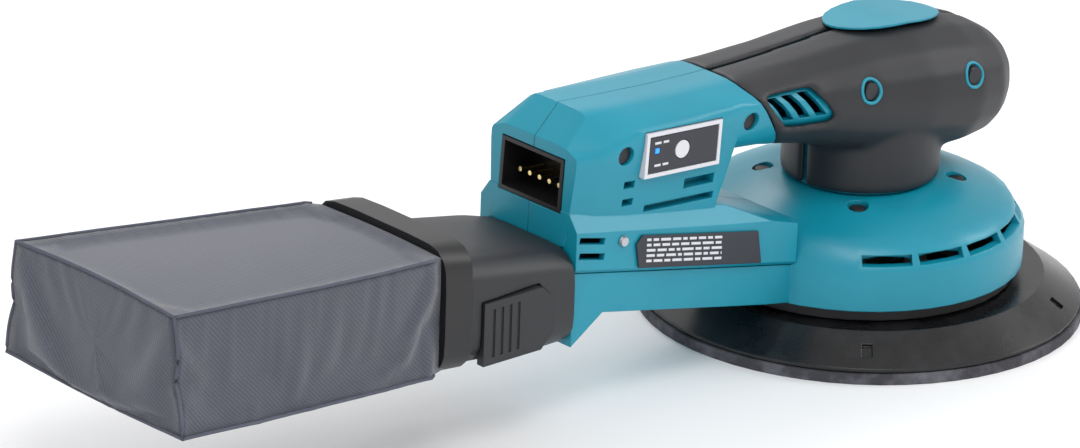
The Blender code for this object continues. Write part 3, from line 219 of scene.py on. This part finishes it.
tealAbs = mouldedPlastic("tealAbsMoulded", plasticLook["teal"])
softGrip = mouldedPlastic("charcoalTpeMoulded", plasticLook["soft"])
charcoalPlastic = mouldedPlastic("charcoalNylonMoulded", plasticLook["hard"])
blackPlastic = mouldedPlastic("blackNylonMoulded", plasticLook["black"])
whitePlastic = mouldedPlastic("whiteAbsGloss", plasticLook["white"], Coat_Weight=0.4)
filmLook = {**plasticLook["black"], "base": "2C2F38", "dark": "272A32"}
labelFilm = mouldedPlastic("printedPolycarbonateFilm", filmLook)
steel = machinedMetal("turnedSteel", metalLook["steel"])
laminated = machinedMetal("laminatedSteel", metalLook["laminated"])
aluminium = machinedMetal("castAluminium", metalLook["aluminium"])
copper = machinedMetal("enamelledCopper", metalLook["copper"])
brass = machinedMetal("platedBrass", metalLook["brass"])
blackenedSteel = mouldedPlastic("blackenedSteel", plasticLook["satin"], Metallic=0.6)
padRubber = mouldedRubber("padRubberMoulded", "0E0E10", "242427", 0.26)
brakeRubber = mouldedRubber("brakeRubberMoulded", "1A1A1C", "2A2A2C", 0.6)
pileFabric = mouldedRubber("hookPile", "3A3A40", "77777F", 0.85)
lampBlue, _, _ = emptyMaterial("blueLampLens", Base_Color=hexLinear("1E7FE0"), Roughness=0.15,
                               Emission_Color=hexLinear("2E9BFF"), Emission_Strength=0.8)
bindingTape = mouldedRubber("slateBindingTape", "4C4F5C", "5D606E", 0.85)
boardGreen = mouldedPlastic("solderMask", {**plasticLook["black"], "base": "0E4A2A", "dark": "0B3D22"})
twillLook = {"base": "565A68", "dark": "3D404B", "thread": 0.6, "slant": 45, "rough": 0.85}
slateTwill = wovenFabric("slatePolyesterTwill", twillLook)

finishes = {
    tealAbs: ("head_shroud", "case_left", "case_right", "handle_badge"),
    softGrip: ("grip_left", "grip_right"),
    charcoalPlastic: ("bag_adapter", "latch_left", "latch_right"),
    blackPlastic: ("power_switch", "speed_dial", "power_socket", "capacitor_1", "capacitor_2", "dust_fan",
                   "bag_collar"),
    whitePlastic: ("control_panel_frame", "wireless_button"),
    labelFilm: ("panel_overlay", "rating_plate"),
    lampBlue: ("status_lamp",),
    steel: ("tier_screw", "lower_bearing", "upper_bearing", "motor_shaft", "pad_bearing", "balancer",
            "pad_spindle", "pad_washer", "pad_screw", "latch_spring_left", "latch_spring_right"),
    blackenedSteel: ("case_screw_1", "case_screw_2", "case_screw_3", "case_screw_4",
                     "head_screw_1", "head_screw_2", "head_screw_3", "head_screw_4"),
    laminated: ("motor_stator", "rotor_core"),
    aluminium: ("bearing_plate", "bearing_cap"),
    copper: ("coils_upper", "coils_lower"),
    brass: ("power_pin_1", "power_pin_2", "power_pin_3", "power_pin_4", "power_pin_5"),
    padRubber: ("pad_body",),
    brakeRubber: ("pad_brake",),
    pileFabric: ("hook_layer",),
    boardGreen: ("controller_board",),
}


def softenGroup():
    # joins the loose triangles, then shades smooth except over edges sharper than the limit
    group = bpy.data.node_groups.new("joinAndSmooth", "GeometryNodeTree")
    group.interface.new_socket("Geometry", in_out="INPUT", socket_type="NodeSocketGeometry")
    group.interface.new_socket("Geometry", in_out="OUTPUT", socket_type="NodeSocketGeometry")
    start, end = addNode(group, "NodeGroupInput"), addNode(group, "NodeGroupOutput")
    weld = addNode(group, "GeometryNodeMergeByDistance", {"Distance": 0.002 * mm},
                   {"Geometry": start.outputs[0]})
    angle = addNode(group, "GeometryNodeInputMeshEdgeAngle")
    flat = addNode(group, "FunctionNodeCompare",
                   {"data_type": "FLOAT", "operation": "LESS_THAN", 1: math.radians(32)},
                   {0: angle.outputs[0]})
    faces = addNode(group, "GeometryNodeSetShadeSmooth", {"domain": "FACE", "Shade Smooth": True},
                    {0: weld.outputs[0]})
    edges = addNode(group, "GeometryNodeSetShadeSmooth", {"domain": "EDGE"},
                    {0: faces.outputs[0], 2: flat.outputs[0]})
    group.links.new(edges.outputs[0], end.inputs[0])
    return group


smoothing = softenGroup()
remeshLook = {"voxel": 1.0, "passes": 20, "nodes": ("grip_left", "grip_right")}


def roundGrip(node, look):
    # an overmould has no sharp edge: the solid is rebuilt as even quads and relaxed
    rebuild = node.modifiers.new("rebuild", "REMESH")
    rebuild.mode, rebuild.voxel_size, rebuild.use_smooth_shade = "VOXEL", look["voxel"] * mm, True
    relax = node.modifiers.new("relax", "SMOOTH")
    relax.factor, relax.iterations = 0.5, look["passes"]


def finishNode(node, material):
    node.data.materials.clear()
    node.data.materials.append(material)
    if node.name in remeshLook["nodes"]:
        roundGrip(node, remeshLook)
    else:
        node.modifiers.new("joinAndSmooth", "NODES").node_group = smoothing
        node.modifiers.new("weighted", "WEIGHTED_NORMAL").keep_sharp = True


for finish, names in finishes.items():
    for name in names:
        finishNode(nodes[name], finish)
print("materials set on", sum(len(names) for names in finishes.values()), "nodes")


def gridFaces(rows, columns, closed):
    # quads of a rows x columns grid of points; closed joins the last column to the first
    across = np.arange(columns if closed else columns - 1)
    down = np.arange(rows - 1)[:, None] * columns
    first, second = down + across, down + (across + 1) % columns
    return np.stack([first, second, second + columns, first + columns], -1).reshape(-1, 4)


def makePiece(name, points, faces, material, body, uv=None):
    mesh = bpy.data.meshes.new(name)
    mesh.from_pydata(np.asarray(points).reshape(-1, 3).tolist(), [], [list(f) for f in faces])
    mesh.polygons.foreach_set("use_smooth", np.ones(len(mesh.polygons), bool))
    if uv is not None:
        corner = np.zeros(len(mesh.loops), np.int32)
        mesh.loops.foreach_get("vertex_index", corner)
        layer = mesh.uv_layers.new(name="cloth")
        layer.data.foreach_set("uv", np.asarray(uv).reshape(-1, 2)[corner].astype(np.float32).ravel())
    mesh.materials.append(material)
    piece = bpy.data.objects.new(name, mesh)
    bpy.context.scene.collection.objects.link(piece)
    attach(piece, body)
    return piece


def tubeGrid(path, radius, sides, closed=False):
    # circle of the radius carried along the path, square to it; the frame turns with the path
    path = np.asarray(path, float)
    if closed:
        along = np.roll(path, -1, 0) - np.roll(path, 1, 0)
    else:
        along = np.gradient(path, axis=0)
    along /= np.linalg.norm(along, axis=1)[:, None]
    guide = np.array((0.0, 0.0, 1.0)) if abs(along[:, 2]).mean() < 0.8 else np.array((0.0, 1.0, 0.0))
    side = np.cross(along, guide)
    side /= np.linalg.norm(side, axis=1)[:, None]
    over = np.cross(side, along)
    angle = np.linspace(0, 2 * math.pi, sides, endpoint=False)[None, :, None]
    return path[:, None] + radius * (side[:, None] * np.cos(angle) + over[:, None] * np.sin(angle))


def tubePiece(name, path, radius, material, body, sides=10, closed=False):
    grid = tubeGrid(path, radius, sides, closed)
    rows = len(grid)
    faces = gridFaces(rows, sides, True)[:, ::-1].tolist()
    if closed:
        last, first = (rows - 1) * sides + np.arange(sides), np.arange(sides)
        faces += np.stack([last, first, np.roll(first, -1), np.roll(last, -1)], -1).tolist()
    else:
        faces += [list(range(sides)), list(range(rows * sides - 1, (rows - 1) * sides - 1, -1))]
    piece = makePiece(name, grid, faces, material, body)
    outwards(piece)
    return piece


def outwards(piece):
    # turns every face of a closed piece to point outwards
    bm = bmesh.new()
    bm.from_mesh(piece.data)
    bmesh.ops.recalc_face_normals(bm, faces=bm.faces)
    bm.to_mesh(piece.data)
    bm.free()


bagLook = {
    # x, top, bottom, upper and lower half width, all in mm about the motor axis
    "stations": ((-203.0, 71.6, 36.6, 27.4, 27.6), (-209.4, 74.3, 35.9, 28.7, 28.7),
                 (-214.0, 75.0, 36.5, 30.8, 31.6), (-236.0, 77.0, 39.2, 33.2, 35.4),
                 (-262.0, 79.4, 41.8, 35.2, 38.2), (-290.0, 82.2, 44.6, 36.8, 41.2),
                 (-321.0, 85.0, 47.6, 38.2, 42.8)),
    "across": (30, 18, 34, 18),  # quads over the top, each side and the bottom
    "length": 54,
    "capRings": 12,
    "capBulge": 2.2,
    "capTip": 2.4,
    "crown": 1.6,  # rise of the top between its seams
    "sag": 0.6,  # the underside hangs by this share of the crown
    "puff": 1.2,
    "fold": 2.6,  # depth of the crease in the gusset
    "foldAt": 0.55,
    "foldWidth": 0.4,
    "easeIn": 14,  # the panels start to curve over this length behind the mouth
    "moveLimit": 2.6,
    "wall": 0.8,
    "frames": 24,
    "mouthRows": 4,
    "seamHold": 0.85,
    "rearHold": 0.95,
    "seamWidth": 0.55,
}
clothLook = {
    "quality": 6,
    "mass": 0.15,
    "tension_stiffness": 20,
    "compression_stiffness": 20,
    "shear_stiffness": 8,
    "bending_stiffness": 0.4,
    "vertex_group_mass": "held",
    "pin_stiffness": 1.0,
    "use_pressure": True,
    "uniform_pressure_force": 0.4,
    "shrink_min": -0.012,  # below zero the cloth is cut larger than the bag, by 1.2 %
    "shrink_max": -0.012,
}


def bagGrid(look):
    # four panels between the section's corners: each is the straight line between two corners plus
    # a half sine outwards on the top and bottom, and a pointed crease inwards on the two sides
    table = np.array(look["stations"])
    x = np.linspace(table[0, 0], table[-1, 0], look["length"] + 1)
    top, bottom, upper, lower = (np.interp(x, table[::-1, 0], table[::-1, k]) for k in (1, 2, 3, 4))
    corners = [(upper, top), (-upper, top), (-lower, bottom), (lower, bottom)]
    start = np.clip((table[0, 0] - x) / look["easeIn"], 0, 1)
    panels = []
    for k, count in enumerate(look["across"]):
        (y0, z0), (y1, z1) = corners[k], corners[(k + 1) % 4]
        t = np.arange(count) / count
        y = y0[:, None] * (1 - t) + y1[:, None] * t
        z = z0[:, None] * (1 - t) + z1[:, None] * t
        if k % 2 == 0:
            z = z + (1 if k == 0 else -look["sag"]) * look["crown"] * np.sin(math.pi * t) * start[:, None]
        else:
            down = t if k == 1 else 1 - t
            crease = np.maximum(0, 1 - np.abs(down - look["foldAt"]) / look["foldWidth"])
            puff = look["puff"] * np.sin(math.pi * t)
            y = y + (-1 if k == 1 else 1) * (puff - look["fold"] * crease ** 2) * start[:, None]
        panels.append(np.stack([np.repeat(x[:, None], count, 1), y, z], -1))
    return np.concatenate(panels, 1)


def seamColumns(look):
    # the first column of each of the four panels
    return np.concatenate([[0], np.cumsum(look["across"])])[:4]


def makeBag(look):
    # the grid, then a rear panel of shrinking copies of its last ring that bulge to a point
    grid = bagGrid(look)
    columns = grid.shape[1]
    ring = grid[-1]
    middle = ring.mean(0)
    shrink = np.linspace(1, 0, look["capRings"] + 1)[1:-1, None, None]
    bulge = np.array((-1.0, 0, 0)) * look["capBulge"] * (1 - shrink ** 2)
    cap = middle + (ring - middle) * shrink + bulge
    points = np.concatenate([grid, cap], 0)
    rows = len(points)
    whole = np.concatenate([points.reshape(-1, 3), (middle + (-look["capTip"], 0, 0))[None]], 0)
    whole = (whole + (axisX, 0, 0)) * mm
    faces = gridFaces(rows, columns, True).tolist()
    last = (rows - 1) * columns + np.arange(columns)
    faces += np.stack([last, np.roll(last, -1), np.full(columns, rows * columns)], -1).tolist()
    around = np.concatenate([[0], np.cumsum(np.linalg.norm(np.diff(ring, axis=0), axis=1))])
    sideUv = np.stack([np.repeat(around[None], len(grid), 0), grid[..., 0]], -1)
    # the rear panel is flat cloth, laid out straight
    uv = np.concatenate([sideUv.reshape(-1, 2), cap[..., 1:].reshape(-1, 2), [middle[1:]]], 0)
    bag = makePiece("dustBag", whole, faces, slateTwill, "dust_bag", uv)
    outwards(bag)
    settled = whole
    settled = settleCloth(bag, whole, columns, look)
    bag.data.vertices.foreach_set("co", settled.astype(np.float32).ravel())
    bag.data.update()
    return bag, settled, rows, columns


def settleCloth(bag, whole, columns, look):
    # cloth cut slightly large, fixed at the mouth and held firmly along the seams and the rear edge
    group = bag.vertex_groups.new(name="held")
    mouth = look["mouthRows"]
    group.add(np.arange(mouth * columns).tolist(), 1.0, "REPLACE")
    seamPoints = (np.arange(mouth, look["length"] + 1)[:, None] * columns + seamColumns(look)).ravel()
    group.add(seamPoints.tolist(), look["seamHold"], "REPLACE")
    edge = look["length"] * columns + np.arange(columns)
    group.add(edge.tolist(), look["rearHold"], "REPLACE")
    cloth = bag.modifiers.new("cloth", "CLOTH")
    for key, value in clothLook.items():
        setattr(cloth.settings, key, value)
    cloth.collision_settings.use_collision = False
    scene = bpy.context.scene
    for number in range(1, look["frames"] + 1):
        scene.frame_set(number)
    graph = bpy.context.evaluated_depsgraph_get()
    moved = np.zeros(len(whole) * 3)
    bag.evaluated_get(graph).data.vertices.foreach_get("co", moved)
    bag.modifiers.remove(cloth)
    scene.frame_set(1)
    step = moved.reshape(-1, 3) - whole
    size = np.linalg.norm(step, axis=1)
    limit = look["moveLimit"] * mm
    print("bag cloth moved up to", round(float(size.max()) / mm, 1), "mm")
    return whole + step * np.minimum(1, limit / np.maximum(size, 1e-9))[:, None]


def makeBagSeams(settled, rows, columns, look):
    grid = settled[:rows * columns].reshape(rows, columns, 3)
    for k, word in zip(seamColumns(look), ("UpperLeft", "UpperRight", "LowerRight", "LowerLeft")):
        path = grid[look["mouthRows"]:look["length"] + 1, k]
        tubePiece("bagSeam" + word, path, look["seamWidth"] * mm, bindingTape, "dust_bag")
    edge = grid[look["length"]]
    tubePiece("bagSeamRear", edge, look["seamWidth"] * mm, bindingTape, "dust_bag", closed=True)


bag, settled, bagRows, bagColumns = makeBag(bagLook)
makeBagSeams(settled, bagRows, bagColumns, bagLook)
thick = bag.modifiers.new("thickness", "SOLIDIFY")
thick.thickness, thick.offset = bagLook["wall"] * mm, -1
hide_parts("dust_bag")
print("bag made")

ringLook = {"radius": 3.8, "thick": 0.6, "steps": 48, "away": 60, "screws": ("case_screw_1", "case_screw_2")}


def makeScrewRings(look):
    # the case shows as a ring round each screw hole: a circle laid onto the grip's outside
    for word, side in (("right", -1), ("left", 1)):
        grip = nodes["grip_" + word]
        for screw in look["screws"]:
            low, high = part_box(screw)
            x, z = (low[0] + high[0]) / 2, (low[2] + high[2]) / 2
            angle = np.linspace(0, 2 * math.pi, look["steps"], endpoint=False)
            path = []
            for turn in angle:
                start = Vector((x + look["radius"] * mm * math.cos(turn), side * look["away"] * mm,
                                z + look["radius"] * mm * math.sin(turn)))
                found, place, _, _ = grip.ray_cast(start, Vector((0, -side, 0)))
                path.append(place if found else start)
            tubePiece("screwRing" + word.title() + screw[-1], path, look["thick"] * mm, tealAbs, "housing",
                      closed=True)


makeScrewRings(ringLook)
print("screw rings made")

strokeLook = {
    # rows of plain bars stand for the print: x from and to, z of the first and last row, in mm
    "plate": {"x": (5, 38), "z": (56.6, 49.4), "rows": 5, "slope": -0.205, "tall": 0.9, "face": -23.9,
              "proud": 0.06, "word": (1.6, 5.0), "space": 0.9, "seed": 3},
    "panel": {"x": (7, 13), "z": (88.7, 81.2), "rows": 2, "slope": -0.061, "tall": 0.8, "face": -23.7,
              "proud": 0.06, "word": (1.6, 5.0), "space": 0.9, "seed": 8},
}


def makeStrokes(name, look):
    # each bar is a box of its own, of a random length, laid a hair proud of the film
    chance = np.random.default_rng(look["seed"])
    boxes = []
    for row in np.linspace(*look["z"], look["rows"]):
        x = look["x"][0]
        while x < look["x"][1]:
            end = min(x + chance.uniform(*look["word"]), look["x"][1])
            boxes.append((x, end, row))
            x = end + look["space"]
    cube = np.array([(i, j, k) for i in (0, 1) for j in (0, 1) for k in (0, 1)], float)
    # each bar is twice as deep as it stands proud of the film
    deep, front = 2 * look["proud"], look["face"] - look["proud"]
    points = np.array([cube * (end - x, deep, look["tall"]) + (x, front, row) for x, end, row in boxes])
    points[..., 2] += look["slope"] * (points[..., 0] - look["x"][0])
    sides = np.array([(0, 1, 3, 2), (4, 6, 7, 5), (0, 4, 5, 1), (2, 3, 7, 6), (0, 2, 6, 4), (1, 5, 7, 3)])
    faces = (np.arange(len(boxes))[:, None, None] * 8 + sides).reshape(-1, 4)
    piece = makePiece(name, points * mm, faces, whitePlastic, "housing")
    piece.data.polygons.foreach_set("use_smooth", np.zeros(len(piece.data.polygons), bool))
    outwards(piece)


makeStrokes("plateStrokes", strokeLook["plate"])
makeStrokes("panelStrokes", strokeLook["panel"])
print("label strokes made")

pileLook = {
    "count": 16000,
    "inner": 68.5, "outer": 74.7,  # radii of the band that shows, in mm
    "low": 0.15,
    "sunk": 0.2,  # the roots start this far under the layer's top
    "width": 0.16,
    "lean": 0.3,
    "seed": 5,
}


def makeHookPile(look):
    # each hook is a narrow three-sided spike, rooted at random in the band and leaning at random
    low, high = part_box("hook_layer")
    centre = (np.array(low) + np.array(high)) / 2
    top = high[2] / mm
    chance = np.random.default_rng(look["seed"])
    count = look["count"]
    radius = np.sqrt(chance.uniform(look["inner"] ** 2, look["outer"] ** 2, count))
    angle = chance.uniform(0, 2 * math.pi, count)
    spread = chance.uniform(0, 2 * math.pi, count)[:, None] + np.arange(3) * 2 * math.pi / 3
    root = np.stack([radius * np.cos(angle), radius * np.sin(angle), np.full(count, top - look["sunk"])], -1)
    base = root[:, None] + look["width"] * np.stack([np.cos(spread), np.sin(spread), 0 * spread], -1)
    reach = chance.uniform(0.3, 1.0, count) * (top - look["sunk"] - look["low"])
    lean = look["lean"] * chance.normal(0, 1, (count, 2))
    tip = root + np.concatenate([lean, -reach[:, None]], -1)
    outside = np.linalg.norm(tip[:, :2], axis=1)
    tip[:, :2] *= np.minimum(1, (look["outer"] + 0.25) / outside)[:, None]
    points = np.concatenate([base, tip[:, None]], 1).reshape(-1, 3) * mm
    points[:, :2] += centre[:2]
    corner = np.array([(0, 2, 1), (0, 1, 3), (1, 2, 3), (2, 0, 3)])
    faces = (np.arange(count)[:, None, None] * 4 + corner).reshape(-1, 3)
    piece = makePiece("hookPile", points, faces, pileFabric, "pad")
    outwards(piece)


makeHookPile(pileLook)
print("hook pile made")

stageLook = {"floor": "F6F6F7", "world": 0.78, "reach": 6.0}  # reach in metres
lightLook = {  # places, aims and sizes in metres, power in watts
    "keyLight": {"place": (-0.7, -1.0, 1.6), "aim": (0, 0, 0.05), "size": 0.9, "power": 14},
    "backLight": {"place": (0.6, 1.2, 1.4), "aim": (0, 0, 0.05), "size": 0.9, "power": 12},
    "noseLight": {"place": (1.3, -0.6, 0.9), "aim": (0.1, 0, 0.06), "size": 0.6, "power": 6},
}


def makeStage(look):
    mesh = bpy.data.meshes.new("floor")
    reach = look["reach"]
    corners = [(-reach, -reach, 0), (reach, -reach, 0), (reach, reach, 0), (-reach, reach, 0)]
    mesh.from_pydata(corners, [], [(0, 1, 2, 3)])
    floor = bpy.data.objects.new("floor", mesh)
    bpy.context.scene.collection.objects.link(floor)
    paper, _, _ = emptyMaterial("palePaper", Base_Color=hexLinear(look["floor"]), Roughness=0.9)
    mesh.materials.append(paper)
    world = bpy.data.worlds.new("studio")
    world.use_nodes = True
    sky = world.node_tree.nodes["Background"]
    sky.inputs["Color"].default_value = (1, 1, 1, 1)
    sky.inputs["Strength"].default_value = look["world"]
    bpy.context.scene.world = world


def makeLight(name, place, aim, size, power):
    data = bpy.data.lights.new(name, "AREA")
    data.shape, data.size, data.energy = "SQUARE", size, power
    lamp = bpy.data.objects.new(name, data)
    bpy.context.scene.collection.objects.link(lamp)
    lamp.location = place
    lamp.rotation_euler = (Vector(aim) - Vector(place)).to_track_quat("-Z", "Y").to_euler()


makeStage(stageLook)
for name, lamp in lightLook.items():
    makeLight(name, **lamp)
bpy.context.scene.view_settings.view_transform = "Standard"
